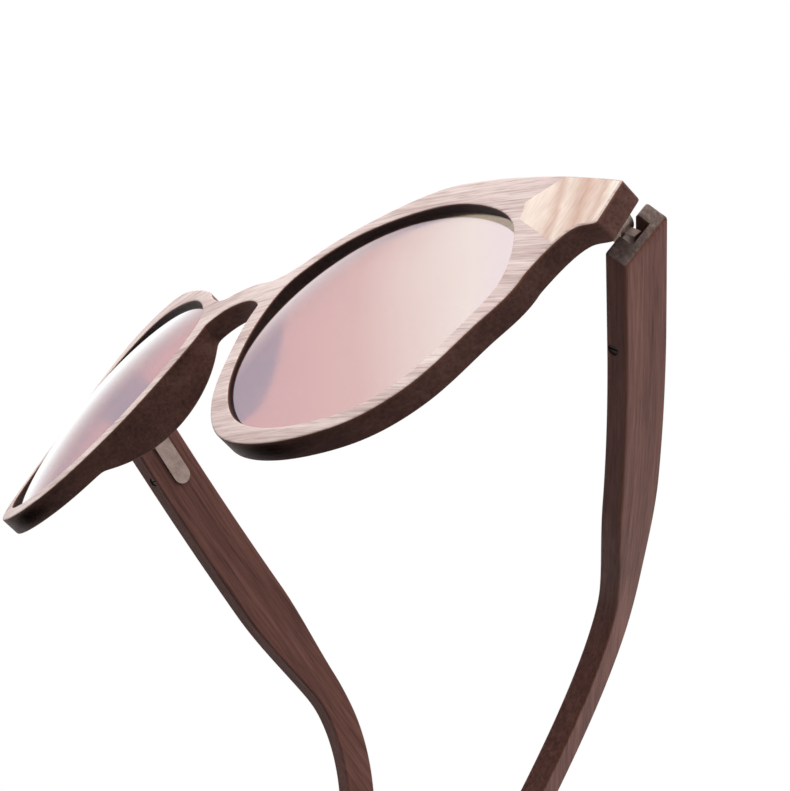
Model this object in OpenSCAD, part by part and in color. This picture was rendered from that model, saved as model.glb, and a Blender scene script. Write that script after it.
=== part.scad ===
// Wooden sunglasses: a curved wooden front with nose pads carved in it, a pale splice in each
// upper outer corner, mirror lenses, and two wooden temples on metal spring hinges.
// Millimetres. The front faces -Y, the temples run back along +Y, +Z is up. The pair stands on its
// rims and on the tip of the open temple at Z = 0, with the middle of its footprint at X = Y = 0.

/* [Front] */
// Overall width of the front
front_w = 142; // [138:1:150]
// Thickness of the front
front_t = 3.6; // [3.4:0.1:4.6]
// Radius of the front's wrap, seen from above
wrap_r = 252; // [220:1:320]
// Lean of the front, top forward, in degrees
lean = 8; // [5:0.5:11]
// Width of the wood round a lens
rim_w = 3; // [2.6:0.1:3.6]
// Width of the wood over a lens
brow_w = 4.4; // [3.8:0.1:5.4]

/* [Bridge] */
// Distance between the two lens openings
bridge_w = 23.2; // [20:0.2:25]
// Height of the bridge
bridge_h = 3.8; // [3:0.1:6]
// Height of the bridge's underside over the middle of the lenses
bridge_rise = 9.9; // [8:0.1:11]
// Radius of the bridge's arch
bridge_arch_r = 30; // [24:1:60]

/* [Nose pads] */
// How far a nose pad stands out behind the front
pad_t = 3.8; // [2:0.1:5]
// Length of a nose pad along the rim
pad_len = 26.5; // [20:0.5:29]
// Drop of a nose pad's middle below the middle of the lenses
pad_drop = 6; // [4:0.2:9]

/* [End pieces] */
// Height of an end piece at its end
end_h = 8.3; // [7.6:0.1:10]
// Height of an end piece's top at its end over the top of the lens openings
end_rise = 1.65; // [0.65:0.1:2.65]

/* [Corner splices] */
// Length of a splice from the end of the front
splice_len = 14.4; // [12:0.1:16]
// Thickness of a splice
splice_t = 0.8; // [0.5:0.1:1.2]
// Wood left between a splice and the end of the front
splice_lip = 0.3; // [0.2:0.1:1]
// Glue line round a splice
glue = 0.03; // [0.02:0.01:0.05]

/* [Lenses] */
// Width of a lens opening
lens_w = 49.5; // [47:0.5:51]
// Height of a lens opening
lens_h = 42.5; // [40:0.5:45]
// Thickness of a lens
lens_t = 1.2; // [1:0.1:1.4]
// Radius of the ball that a lens's face is cut from
lens_r = 88; // [84:1:100]
// How far the middle of a lens stands out before the front's face
lens_crown = 1.5; // [1.3:0.1:1.7]
// How far a lens reaches into its groove
lens_bite = 0.9; // [0.6:0.1:1.2]
// Play of a lens in its groove
lens_play = 0.05; // [0.03:0.01:0.1]

/* [Temples] */
// Thickness of a temple
temple_t = 3.5; // [3.3:0.1:4]
// Height of a temple at the hinge
temple_h = 9.65; // [8.65:0.1:11]
// Height of a temple behind its taper
waist_h = 5.6; // [4.6:0.1:7]
// Reach of a temple behind its pivot
reach = 106; // [102:1:112]
// Slope of the temples when the pair stands on a table, in degrees
temple_slope = 7; // [5:0.5:9]
// How far the temple's outer face stands proud of the front's end
overhang = 0.6; // [0:0.1:0.8]
// Height of a temple's top edge over the hinge's middle
temple_top = 4.55; // [4.05:0.1:5.05]
// Gap between an open temple and the front
butt_gap = 0.25; // [0.2:0.05:0.4]
// Distance behind the pivot where the temple starts to curve in towards the head
bow_y = 14; // [10:1:24]
// Radius of that curve, seen from above
bow_r = 379; // [340:1:500]
// Distance behind the pivot where the temple starts to taper
taper_y = 45; // [40:1:50]
// Length of the taper
taper_len = 25; // [20:1:30]
// Distance behind the pivot where the ear bend starts
ear_y = 64; // [60:1:68]

/* [Hinges] */
// Distance from the pivot to the temple's inner face
pivot_in = 1.5; // [1.4:0.05:1.6]
// Height of the hinge's middle over the middle of the end piece
hinge_rise = 1.8; // [1.4:0.1:2]
// Radius of the hinge's knuckle and ears
knuckle_r = 1.6; // [1.4:0.05:1.7]
// Height of the knuckle
knuckle_h = 1.6; // [1.2:0.1:1.8]
// Thickness of an ear
ear_t = 0.65; // [0.5:0.05:0.7]
// Radius of the pivot screw
pin_r = 0.6; // [0.5:0.05:0.7]
// Running clearance round the pivot screw and the spring rod
pin_play = 0.03; // [0.02:0.01:0.06]
// Gap between the knuckle and each ear
ear_play = 0.05; // [0.03:0.01:0.08]
// Clearance of metal let into wood, and of screws in their holes
seat_play = 0.03; // [0.02:0.01:0.06]
// Thickness of the hinge leaf's plate
leaf_t = 0.8; // [0.7:0.05:1]
// How deep the plate is let into the front
leaf_in = 0.4; // [0.3:0.05:0.5]
// Gap between the knuckle and the plate
leaf_gap = 0.45; // [0.4:0.05:0.6]
// Radius of the leaf's wood screws
leaf_screw_r = 0.45; // [0.4:0.05:0.5]
// Length of the leaf's wood screws
leaf_screw_len = 2.2; // [1.8:0.1:2.3]

/* [Spring housing] */
// Height of the spring housing
housing_h = 3.5; // [3.3:0.1:4]
// Length of the spring housing
housing_len = 15.4; // [15:0.2:18]
// Depth of the spring housing in the wood
housing_in = 2.25; // [2.15:0.05:2.4]
// How far the spring housing stands proud of the wood
housing_proud = 0.35; // [0.2:0.05:0.5]
// Radius of the spring's bore in the housing
bore_r = 0.95; // [0.9:0.05:1]
// Radius of the tongue's rod
rod_r = 0.4; // [0.35:0.05:0.42]
// Length of the rest of the spring
spring_len = 4.2; // [4:0.1:4.5]
// Radius of the spring's wire
wire_r = 0.14; // [0.12:0.01:0.15]
// Turns of the spring
turns = 7; // [5:1:7]
// Radius of the housing screw
housing_screw_r = 0.5; // [0.4:0.05:0.55]
// Distance of the housing screw behind the pivot
housing_screw_y = 15.5; // [14.8:0.1:16]

/* [Pose] */
// Fold of the left temple, in degrees
left_fold = 0; // [0:0.5:86.5]
// Fold of the right temple, in degrees
right_fold = 36.5; // [0:0.5:80]
// How far the left temple is drawn out on its spring
left_pull = 0; // [0:0.1:2]
// How far the right temple is drawn out on its spring
right_pull = 1.15; // [0:0.05:2]

/* [Hidden] */
$fn = 48;

LEFT = -1;
RIGHT = 1;
function fold(side) = side == LEFT ? left_fold : right_fold;
function pull(side) = side == LEFT ? left_pull : right_pull;

// How far a cut runs past the face that it opens
past = 1;
wrap_fn = 360;

// Lens opening, a rounded panto shape, from the outer side down and round by the nose. Each point
// has its share of the half-width and half-height, then the share of the rim's width that the wood
// has there and the share of the brow's extra width
lens_shape = [
    [1, 0.22, 1, 0.4], [0.93, -0.18, 0.82, 0], [0.76, -0.64, 0.8, 0], [0.47, -0.91, 0.87, 0], [0, -1, 1, 0],
    [-0.43, -0.88, 1.12, 0], [-0.76, -0.54, 1.07, 0], [-0.95, -0.1, 1.02, 0], [-1, 0.33, 1.3, 0],
    [-0.89, 0.6, 0.9, 0], [-0.5, 0.87, 0.78, 0], [0.12, 1, 1, 1], [0.57, 0.91, 1, 1], [0.85, 0.68, 1, 1]
];
lens_steps = 5;
lens_x = bridge_w / 2 + lens_w / 2;
lens_z = rim_w + lens_h / 2;

function blend(p, q, r, s, t) =
    0.5 * (2 * q + (r - p) * t + (2 * p - 5 * q + 4 * r - s) * t * t + (3 * q - p - 3 * r + s) * t * t * t);
function ring_curve(pts, steps) = [
    for (i = [0 : len(pts) - 1], j = [0 : steps - 1])
        blend(pts[(i + len(pts) - 1) % len(pts)], pts[i], pts[(i + 1) % len(pts)],
              pts[(i + 2) % len(pts)], j / steps)
];
function smooth(t) = let (c = min(max(t, 0), 1)) c * c * (3 - 2 * c);
function turn_left(v) = [-v[1], v[0]] / norm(v);

lens_unit = ring_curve(lens_shape, lens_steps);
lens_points = [for (p = lens_unit) [lens_x + p[0] * lens_w / 2, lens_z + p[1] * lens_h / 2]];
// The curve runs clockwise, so its left-hand normal points out of the lens
lens_normals = [
    for (i = [0 : len(lens_points) - 1])
        turn_left(lens_points[(i + 1) % len(lens_points)]
                  - lens_points[(i + len(lens_points) - 1) % len(lens_points)])
];
function rim_at(p) = rim_w * p[2] + (brow_w - rim_w) * p[3];
rim_points = [for (i = [0 : len(lens_points) - 1]) lens_points[i] + lens_normals[i] * rim_at(lens_unit[i])];
function grown_lens(d) = [for (i = [0 : len(lens_points) - 1]) lens_points[i] + lens_normals[i] * d];

// End piece and splice
end_x = front_w / 2;
end_top = lens_z + lens_h / 2 + end_rise;
end_z = end_top - end_h;
// The brow runs from the rim's highest point to the end piece, level at first
brow_top = max([for (p = rim_points) p[1]]);
brow_at = [for (i = [0 : len(rim_points) - 1]) if (rim_points[i][1] == brow_top) i][0];
brow_x = rim_points[brow_at][0];
front_room = brow_top / 2;
brow_steps = 8;
brow_points = [
    for (i = [brow_steps : -1 : 1])
        let (t = i / brow_steps) [brow_x + (end_x - brow_x) * t, brow_top - (brow_top - end_top) * t * t]
];
bridge_z = lens_z + bridge_rise;
bridge_side = bridge_w / 2;
function bridge_top(x) = [x, bridge_z + bridge_h - x * x / (2 * bridge_arch_r)];
// Where the bridge runs into the rim by the nose, under it and over it
under_at = 8 * lens_steps;
over_at = 9 * lens_steps + 2;
// Right half of the front's outline, from under the bridge round the lens to the bridge's top
fillet_steps = 6;
function fillet(p, q, r) = [
    for (i = [0 : fillet_steps - 1]) let (t = i / fillet_steps) (1 - t) * (1 - t) * p + 2 * t * (1 - t) * q + t * t * r
];
outer_rim = rim_points[0];
half_points = concat(
    fillet([0, bridge_z], [0.42 * bridge_side, bridge_z], rim_points[under_at]),
    [for (i = [under_at : -1 : 1]) rim_points[i]],
    fillet(outer_rim, [outer_rim[0] + 1.6, end_z - 1.5], [end_x - 2.5, end_z - 0.5]),
    [[end_x - 2.5, end_z - 0.5], [end_x, end_z]],
    brow_points,
    [for (i = [brow_at : -1 : over_at + 1]) rim_points[i]],
    fillet(rim_points[over_at], bridge_top(0.84 * bridge_side), bridge_top(0.4 * bridge_side)),
    [bridge_top(0.4 * bridge_side), bridge_top(0.2 * bridge_side), bridge_top(0)]
);
outline_points = concat(half_points, [for (i = [len(half_points) - 2 : -1 : 1]) [-half_points[i][0], half_points[i][1]]]);
splice_points = [
    [end_x - 0.55 * splice_len, brow_top + past], [end_x - splice_len, end_z + 0.6 * end_h],
    [end_x - 0.92 * splice_len, end_z + 0.17 * end_h], [end_x - 0.24 * splice_len, end_z - 0.54 * end_h],
    [end_x + past, end_z - 0.54 * end_h], [end_x + past, brow_top + past]
];

// Depth of the front's face behind its middle, at a distance from the middle
function sag(x) = wrap_r - sqrt(wrap_r * wrap_r - x * x);

// Standing height and place: the rims' lowest points touch Z = 0
rim_low = min([for (p = rim_points) sag(p[0]) * sin(lean) + p[1] * cos(lean)]);
rim_fore = min([for (p = rim_points) sag(p[0]) * cos(lean) - p[1] * sin(lean)]);

// Hinge: the pivot lies behind the front, square to its back face
leaf_proud = leaf_t - leaf_in;
pivot_back = knuckle_r + leaf_gap + leaf_proud;
pivot_x = end_x + overhang - temple_t - pivot_in;
pivot_r = wrap_r - front_t - pivot_back;
seat_turn = asin(pivot_x / pivot_r);
seat_z = end_z + end_h / 2 + hinge_rise;
pivot_sag = wrap_r - pivot_r * cos(seat_turn);
pivot_y0 = pivot_sag * cos(lean) - seat_z * sin(lean);
pivot_z = pivot_sag * sin(lean) + seat_z * cos(lean) - rim_low;

// Temple: its curve seen from above, which eases out along the ear bend so that the tip runs straight back
function ear_part(y) = min(max(y - ear_y, 0) / (reach - ear_y), 1);
function bow_in(y) = max(min(y, ear_y) - bow_y, 0);
function bow_turn(y) = bow_in(y) / bow_r * (1 - ear_part(y));
function bow_x(y) =
    -bow_in(y) * (bow_in(y) / 2 + (reach - ear_y) * (ear_part(y) - pow(ear_part(y), 2) / 2)) / bow_r;

// Temple: its middle line and its height along its length
temple_mid = temple_top - temple_h / 2;
tip_r = waist_h / 2;
tip_drop = (pivot_z - tip_r - reach * sin(temple_slope)) / cos(temple_slope) + temple_mid;
function mid_drop(y) = tip_drop * pow(max(y - ear_y, 0) / (reach - ear_y), 2);
function temple_height(y) = temple_h - (temple_h - waist_h) * smooth((y - taper_y) / taper_len);
function mid_slope(y) = (mid_drop(y + 0.5) - mid_drop(y - 0.5)) / 1;
// Points of an edge, square to the middle line, on side s: 1 over it, -1 under it
function edge_point(y, s) =
    let (m = mid_slope(y), n = [m, 1] / sqrt(1 + m * m))
        [y, temple_mid - mid_drop(y)] + n * s * temple_height(y) / 2;
temple_step = 4;
temple_from = -8;
temple_ys = concat([temple_from], [for (y = [bow_y : temple_step : reach - 1]) y], [reach]);
tip_middle = [reach, temple_mid - mid_drop(reach)];
tip_turn = atan(mid_slope(reach));
tip_step = 20;

// Middle of the footprint
tip_y = pivot_y0 + reach * cos(temple_slope) + tip_middle[1] * sin(temple_slope) + tip_r;
origin_y = (rim_fore + tip_y) / 2;
pivot = [pivot_x, pivot_y0 - origin_y, pivot_z];

// Hinge and spring housing, in the temple's own frame with the pivot at its origin
ear_z = knuckle_h / 2 + ear_play;
ear_top = ear_z + ear_t;
screw_head_h = 0.35;
screw_head_r = pin_r + 0.5;
notch_half = ear_top + screw_head_h + 0.2;
inner_x = pivot_in;
housing_x0 = inner_x - housing_proud;
housing_x1 = inner_x + housing_in;
housing_y0 = knuckle_r + 2;
neck_y = housing_y0 - ear_play;
bore_x = (housing_x0 + housing_x1) / 2;
stop_y0 = housing_y0 + 0.1;
stop_len = 1.3;
spring_y0 = stop_y0 + stop_len + 0.05;
nut_y0 = spring_y0 + spring_len + 0.05;
nut_len = 1.1;
rod_end = nut_y0 + nut_len;
bore_end = rod_end + 0.9;
housing_y1 = housing_y0 + housing_len;
coil_r = (rod_r + bore_r) / 2;
housing_screw_x = inner_x + housing_in / 2;
housing_screw_head_r = housing_screw_r + 0.35;
housing_screw_head_h = 0.6;
housing_screw_sink = 0.2;
temple_foot = temple_top - temple_h;

// Leaf plate, in the frame of its seat: the back face of the front at Y = 0
plate_in = 4.2;
plate_out = (pivot_in - 2 * ear_play - pivot_back * sin(seat_turn)) / cos(seat_turn);
plate_low = 4.2;
plate_half = ear_top + 0.3;
leaf_screw_x = -plate_in + 1.2;
leaf_screw_zs = [plate_half - 1, -plate_low + 1.2];
leaf_screw_head_r = leaf_screw_r + 0.35;
leaf_screw_head_h = 0.4;

// Placing
module on_side(side) {
    if (side == LEFT) mirror([1, 0, 0]) children();
    else children();
}
module front_place() {
    translate([0, -origin_y, -rim_low]) rotate([lean, 0, 0]) children();
}
module seat_place() {
    front_place() translate([0, wrap_r, seat_z]) rotate([0, 0, seat_turn])
        translate([0, front_t - wrap_r, 0]) children();
}
module hinge_place() {
    translate(pivot) rotate([-temple_slope, 0, 0]) children();
}
module tongue_place(side) {
    on_side(side) hinge_place() rotate([0, 0, fold(side)]) children();
}
module temple_place(side) {
    tongue_place(side) translate([0, pull(side), 0]) children();
}

// Shapes of the front
module slab(y0 = -past, y1 = front_room) {
    translate([0, y1, 0]) rotate([90, 0, 0]) linear_extrude(y1 - y0) children();
}
module wrap(d, over = 0) {
    translate([0, wrap_r, -front_room - over])
        cylinder(r = wrap_r - d, h = brow_top + 2 * (front_room + over), $fn = wrap_fn);
}
module between(d0, d1) {
    difference() {
        wrap(d0);
        wrap(d1, past);
    }
}
module lens_shell(play) {
    deep = lens_r - lens_crown;
    translate([lens_x - deep * lens_x / wrap_r, sag(lens_x) + deep * (1 - sag(lens_x) / wrap_r), lens_z]) difference() {
        sphere(r = lens_r + play, $fn = wrap_fn);
        sphere(r = lens_r - lens_t - play, $fn = wrap_fn);
    }
}
module outline() {
    polygon(outline_points);
}
module nose_pad() {
    ball_r = (pad_len * pad_len / 4 + pad_t * pad_t) / (2 * pad_t);
    pad_x = bridge_w / 2;
    intersection() {
        slab() outline();
        translate([pad_x, sag(pad_x) + front_t + pad_t - ball_r, lens_z - pad_drop])
            sphere(r = ball_r, $fn = 120);
        wrap(front_t / 2);
        translate([0, -past, 0]) cube([bridge_w, front_room, lens_z + bridge_rise]);
    }
}
module splice_shape(gap) {
    intersection() {
        offset(delta = gap) polygon(splice_points);
        translate([0, -past]) square([end_x - splice_lip + gap, brow_top + 2 * past]);
    }
}
module leaf_plate(play) {
    translate([-plate_in - play, -leaf_in - play, -plate_low - play])
        cube([plate_in + plate_out + 2 * play, leaf_t + 2 * play, plate_low + plate_half + 2 * play]);
}
module leaf_screw_holes(r, y0, y1) {
    for (z = leaf_screw_zs)
        translate([leaf_screw_x, y1, z]) rotate([90, 0, 0]) cylinder(r = r, h = y1 - y0);
}

// Pieces of the front
module front_frame() {
    color("#6b4a3e") front_place() difference() {
        union() {
            intersection() {
                slab() outline();
                between(0, front_t);
            }
            for (side = [LEFT, RIGHT]) on_side(side) nose_pad();
        }
        for (side = [LEFT, RIGHT]) on_side(side) {
            slab() polygon(lens_points);
            intersection() {
                slab() polygon(grown_lens(lens_bite + lens_play));
                lens_shell(lens_play);
            }
            intersection() {
                slab() splice_shape(glue);
                between(-past, splice_t + glue);
            }
            translate([0, wrap_r, seat_z]) rotate([0, 0, seat_turn]) translate([0, front_t - wrap_r, 0]) {
                leaf_plate(seat_play);
                leaf_screw_holes(leaf_screw_r + seat_play, leaf_t - leaf_in - leaf_screw_len - seat_play, past);
            }
        }
    }
}
module corner_inlay(side) {
    color("#e8d2bd") on_side(side) front_place() intersection() {
        slab() intersection() {
            outline();
            splice_shape(0);
        }
        between(0, splice_t);
    }
}
module lens(side) {
    color("#c99a90") on_side(side) front_place() intersection() {
        slab() polygon(grown_lens(lens_bite));
        lens_shell(0);
    }
}

// Pieces of the hinge
module hinge_ear(z) {
    translate([0, 0, z]) difference() {
        union() {
            cylinder(r = knuckle_r, h = ear_t);
            translate([-knuckle_r, -pivot_back - 1, 0]) cube([2 * knuckle_r, pivot_back + 1, ear_t]);
        }
        translate([0, 0, -past]) cylinder(r = pin_r + seat_play, h = ear_t + 2 * past);
    }
}
module hinge_leaf(side) {
    color("#8d8078") on_side(side) difference() {
        union() {
            seat_place() leaf_plate(0);
            intersection() {
                hinge_place() {
                    hinge_ear(ear_z);
                    hinge_ear(-ear_top);
                }
                seat_place() translate([-plate_in, seat_play, -plate_low]) cube([2 * plate_in, 3 * pivot_back, 2 * plate_low]);
            }
        }
        seat_place() {
            leaf_screw_holes(leaf_screw_r + seat_play, -leaf_t, leaf_t);
            leaf_screw_holes(leaf_screw_head_r + seat_play, leaf_proud - leaf_screw_head_h, leaf_t);
        }
    }
}
module leaf_screws(side) {
    color("#77706b") on_side(side) seat_place() difference() {
        union() {
            leaf_screw_holes(leaf_screw_r, leaf_proud - leaf_screw_len, leaf_proud - leaf_screw_head_h / 2);
            leaf_screw_holes(leaf_screw_head_r, leaf_proud - leaf_screw_head_h, leaf_proud);
        }
        for (z = leaf_screw_zs)
            translate([leaf_screw_x - past, leaf_proud - leaf_screw_head_h / 3, z - 0.1])
                cube([2 * past, past, 0.2]);
    }
}
module pivot_screw(side) {
    color("#77706b") on_side(side) hinge_place() difference() {
        union() {
            translate([0, 0, -ear_top]) cylinder(r = pin_r, h = 2 * ear_top);
            translate([0, 0, ear_top]) cylinder(r = screw_head_r, h = screw_head_h);
        }
        translate([-2 * screw_head_r, -0.12, ear_top + screw_head_h / 2])
            cube([4 * screw_head_r, 0.24, screw_head_h]);
    }
}
module hinge_tongue(side) {
    color("#9a8f86") tongue_place(side) {
        difference() {
            union() {
                cylinder(r = knuckle_r, h = knuckle_h, center = true);
                translate([0, 0, -knuckle_h / 2]) cube([bore_x + knuckle_h / 2, neck_y, knuckle_h]);
            }
            cylinder(r = pin_r + pin_play, h = knuckle_h + 2 * past, center = true);
        }
        translate([bore_x, rod_end, 0]) rotate([90, 0, 0]) cylinder(r = rod_r, h = rod_end - neck_y / 2 - 1);
    }
}
module bush(y0, length, r) {
    translate([bore_x, y0 + length, 0]) rotate([90, 0, 0]) difference() {
        cylinder(r = r, h = length);
        translate([0, 0, -past]) cylinder(r = rod_r + pin_play, h = length + 2 * past);
    }
}
module rod_nut(side) {
    color("#b59a5a") tongue_place(side) bush(nut_y0, nut_len, coil_r + wire_r);
}
module spring_stop(side) {
    color("#b59a5a") temple_place(side) bush(stop_y0, stop_len, bore_r - seat_play);
}
coil_sides = 6;
coil_steps = 12;
module coil_spring(side) {
    pitch = (spring_len - pull(side) - 2 * wire_r) / turns;
    rings = turns * coil_steps;
    points = [
        for (i = [0 : rings], j = [0 : coil_sides - 1])
            let (a = 360 * i / coil_steps, b = 360 * j / coil_sides, r = coil_r + wire_r * cos(b))
                [bore_x + r * cos(a), spring_y0 + wire_r + pitch * i / coil_steps + wire_r * sin(b), r * sin(a)]
    ];
    sides = [
        for (i = [0 : rings - 1], j = [0 : coil_sides - 1], half = [0, 1])
            let (p = i * coil_sides + j, q = i * coil_sides + (j + 1) % coil_sides)
                half == 0 ? [p, p + coil_sides, q] : [q, p + coil_sides, q + coil_sides]
    ];
    first_cap = [for (j = [1 : coil_sides - 2]) [0, j, j + 1]];
    last_cap = [for (j = [1 : coil_sides - 2]) [rings * coil_sides, rings * coil_sides + j + 1, rings * coil_sides + j]];
    color("#cfcac2") temple_place(side) polyhedron(concat(sides, first_cap, last_cap) == [] ? [] : points,
                                                   concat(sides, first_cap, last_cap));
}
module housing_body(play) {
    x0 = housing_x0;
    length = housing_x1 + play - x0;
    half = housing_h / 2 + play;
    y1 = housing_y1 - housing_h / 2;
    translate([x0, housing_y0, -half]) cube([length, y1 - housing_y0, 2 * half]);
    translate([x0, y1, 0]) rotate([0, 90, 0]) cylinder(r = half, h = length);
}
module spring_housing(side) {
    color("#8d8078") temple_place(side) difference() {
        housing_body(0);
        translate([bore_x, bore_end, 0]) rotate([90, 0, 0]) cylinder(r = bore_r, h = bore_end - housing_y0 + past);
        translate([housing_screw_x, housing_screw_y, -housing_h])
            cylinder(r = housing_screw_r + seat_play, h = housing_h - housing_screw_r);
    }
}
module housing_screw(side) {
    head_z = temple_foot + housing_screw_sink;
    color("#77706b") temple_place(side) translate([housing_screw_x, housing_screw_y, 0]) difference() {
        union() {
            translate([0, 0, head_z]) cylinder(r = housing_screw_r, h = -housing_screw_r - seat_play - head_z);
            translate([0, 0, head_z]) cylinder(r = housing_screw_head_r, h = housing_screw_head_h);
        }
        translate([-past, -0.12, head_z - housing_screw_head_h / 2]) cube([2 * past, 0.24, housing_screw_head_h]);
    }
}

// Temple
module temple_profile() {
    top = [for (y = temple_ys) edge_point(y, 1)];
    foot = [for (i = [len(temple_ys) - 1 : -1 : 0]) edge_point(temple_ys[i], -1)];
    tip = [for (a = [90 - tip_step : -tip_step : tip_step - 90]) tip_middle + tip_r * [cos(a - tip_turn), sin(a - tip_turn)]];
    polygon(concat(top, tip, foot));
}
module temple_plan() {
    ys = concat(temple_ys, [reach + waist_h]);
    inner = [for (y = ys) [inner_x + bow_x(y), y]];
    outer = [for (y = ys) [inner_x + bow_x(y), y] + temple_t * [1, bow_turn(y)] / norm([1, bow_turn(y)])];
    polygon(concat(inner, [for (i = [len(outer) - 1 : -1 : 0]) outer[i]]));
}
module temple(side) {
    color("#6b4a3e") temple_place(side) difference() {
        intersection() {
            translate([-reach / 2, 0, 0]) rotate([90, 0, 90]) linear_extrude(reach) temple_profile();
            translate([0, 0, -reach]) linear_extrude(2 * reach) temple_plan();
            rotate([temple_slope, 0, 0]) translate(-pivot) front_place() wrap(front_t + butt_gap, reach);
        }
        translate([-past, temple_from - past, -notch_half])
            cube([housing_x1 + seat_play + past, housing_y0 - temple_from + past, 2 * notch_half]);
        housing_body(seat_play);
        translate([housing_screw_x, housing_screw_y, temple_foot - past]) {
            cylinder(r = housing_screw_r + seat_play, h = -temple_foot);
            cylinder(r = housing_screw_head_r + seat_play,
                     h = past + housing_screw_sink + housing_screw_head_h + seat_play);
        }
    }
}

front_frame();
corner_inlay(LEFT);  // left_corner_inlay
corner_inlay(RIGHT);  // right_corner_inlay
lens(LEFT);  // left_lens
lens(RIGHT);  // right_lens
hinge_leaf(LEFT);  // left_hinge_leaf
hinge_leaf(RIGHT);  // right_hinge_leaf
leaf_screws(LEFT);  // left_leaf_screws
leaf_screws(RIGHT);  // right_leaf_screws
pivot_screw(LEFT);  // left_pivot_screw
pivot_screw(RIGHT);  // right_pivot_screw
hinge_tongue(LEFT);  // left_hinge_tongue
hinge_tongue(RIGHT);  // right_hinge_tongue
rod_nut(LEFT);  // left_rod_nut
rod_nut(RIGHT);  // right_rod_nut
coil_spring(LEFT);  // left_coil_spring
coil_spring(RIGHT);  // right_coil_spring
spring_stop(LEFT);  // left_spring_stop
spring_stop(RIGHT);  // right_spring_stop
spring_housing(LEFT);  // left_spring_housing
spring_housing(RIGHT);  // right_spring_housing
housing_screw(LEFT);  // left_housing_screw
housing_screw(RIGHT);  // right_housing_screw
temple(LEFT);  // left_temple
temple(RIGHT);  // right_temple
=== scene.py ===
"""Looks of the wooden sunglasses on the CAD frame: carved front, splices, mirror lenses and temples."""

import math

import bmesh
import bpy
import numpy as np
from mathutils import Matrix
from mathutils.geometry import delaunay_2d_cdt, tessellate_polygon


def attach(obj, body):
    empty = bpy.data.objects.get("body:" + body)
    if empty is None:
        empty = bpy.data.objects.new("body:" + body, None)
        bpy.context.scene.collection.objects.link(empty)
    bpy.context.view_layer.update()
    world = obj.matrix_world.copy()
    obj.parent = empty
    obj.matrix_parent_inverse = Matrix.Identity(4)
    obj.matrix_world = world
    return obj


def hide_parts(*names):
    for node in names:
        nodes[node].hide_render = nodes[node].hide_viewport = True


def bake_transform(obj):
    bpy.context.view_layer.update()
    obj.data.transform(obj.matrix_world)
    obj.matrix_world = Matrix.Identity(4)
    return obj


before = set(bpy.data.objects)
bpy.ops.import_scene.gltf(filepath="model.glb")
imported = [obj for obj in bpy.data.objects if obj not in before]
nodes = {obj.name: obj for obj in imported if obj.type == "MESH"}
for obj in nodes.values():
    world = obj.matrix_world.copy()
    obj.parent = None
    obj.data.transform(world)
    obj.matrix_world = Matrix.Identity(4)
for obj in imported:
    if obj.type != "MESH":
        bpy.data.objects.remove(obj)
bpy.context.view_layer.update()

# Sizes of the part, in millimetres and degrees, as its source names them
MM = 0.001
FRONT_W, FRONT_T, WRAP_R, LEAN = 142, 3.6, 252, 8
RIM_W, BROW_W = 3, 4.4
BRIDGE_W, BRIDGE_H, BRIDGE_RISE, BRIDGE_ARCH_R = 23.2, 3.8, 9.9, 30
PAD_T, PAD_LEN, PAD_DROP = 3.8, 26.5, 6
END_H, END_RISE = 8.3, 1.65
SPLICE_LEN, SPLICE_LIP = 14.4, 0.3
LENS_W, LENS_H, LENS_T, LENS_BITE, LENS_R, LENS_CROWN = 49.5, 42.5, 1.2, 0.9, 88, 1.5
TEMPLE_T, TEMPLE_H, WAIST_H, TEMPLE_TOP = 3.5, 9.65, 5.6, 4.55
REACH, TEMPLE_SLOPE, BUTT_GAP = 106, 7, 0.25
BOW_Y, BOW_R, TAPER_Y, TAPER_LEN, EAR_Y = 14, 379, 45, 25, 64
PIVOT_IN, NOTCH_HALF = 1.5, 2.05
HOUSING_IN, HOUSING_START, HOUSING_END, HOUSING_HALF = 2.28, 3.6, 19.03, 1.78
SCREW_Y, SCREW_IN, SCREW_HOLE_R, SCREW_HOLE_H = 15.5, 1.125, 0.88, 0.83
BORE_X, SPRING_Y, SPRING_LEN, SPRING_TURNS, COIL_R, WIRE_R = 2.45, 5.05, 4.2, 7, 0.675, 0.14

# Where the front's frame and the right pivot lie in the row, and each temple's fold and pull at rest
ORIGIN_Y, RIM_LOW = 53.9275, 0.366192
PIVOT = np.array([66.6, -45.072, 46.1187])
FOLDS = {"left": (0, 0), "right": (36.5, 1.15)}
SIDES = {"left": -1, "right": 1}

# Outline of the front beside the bridge, as shares of the bridge's half-width, and at the end piece
BRIDGE_LOW_PULL, BRIDGE_TOP_PULL, BRIDGE_TOP_SPAN = 0.42, 0.84, 0.4
END_BEND_OUT, END_BEND_DROP, END_FOOT_IN, END_FOOT_DROP = 1.6, 1.5, 2.5, 0.5

# Softened edges and fine fits in millimetres. Each chamfer row is a distance behind a temple's cut end and
# how far the section shrinks there
EDGE_R, CORNER_R, CORNER_HOLD, PAD_EASE = 0.34, 0.36, 0.06, 0.12
CHAMFER = ((0.0, 0.5), (0.07, 0.3), (0.2, 0.14), (0.36, 0.04), (0.55, 0.0), (2.5, 0.0))
SPLICE_PROUD, SPLICE_DEEP, LENS_SEAT = 0.015, 0.5, 0.7
NOTCH_STEP, GROOVE_STEP, GROOVE_SHUT, LEAST_SQUARE, TIP_FLAT = 0.04, 0.02, 0.01, 0.001, 0.1

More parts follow.
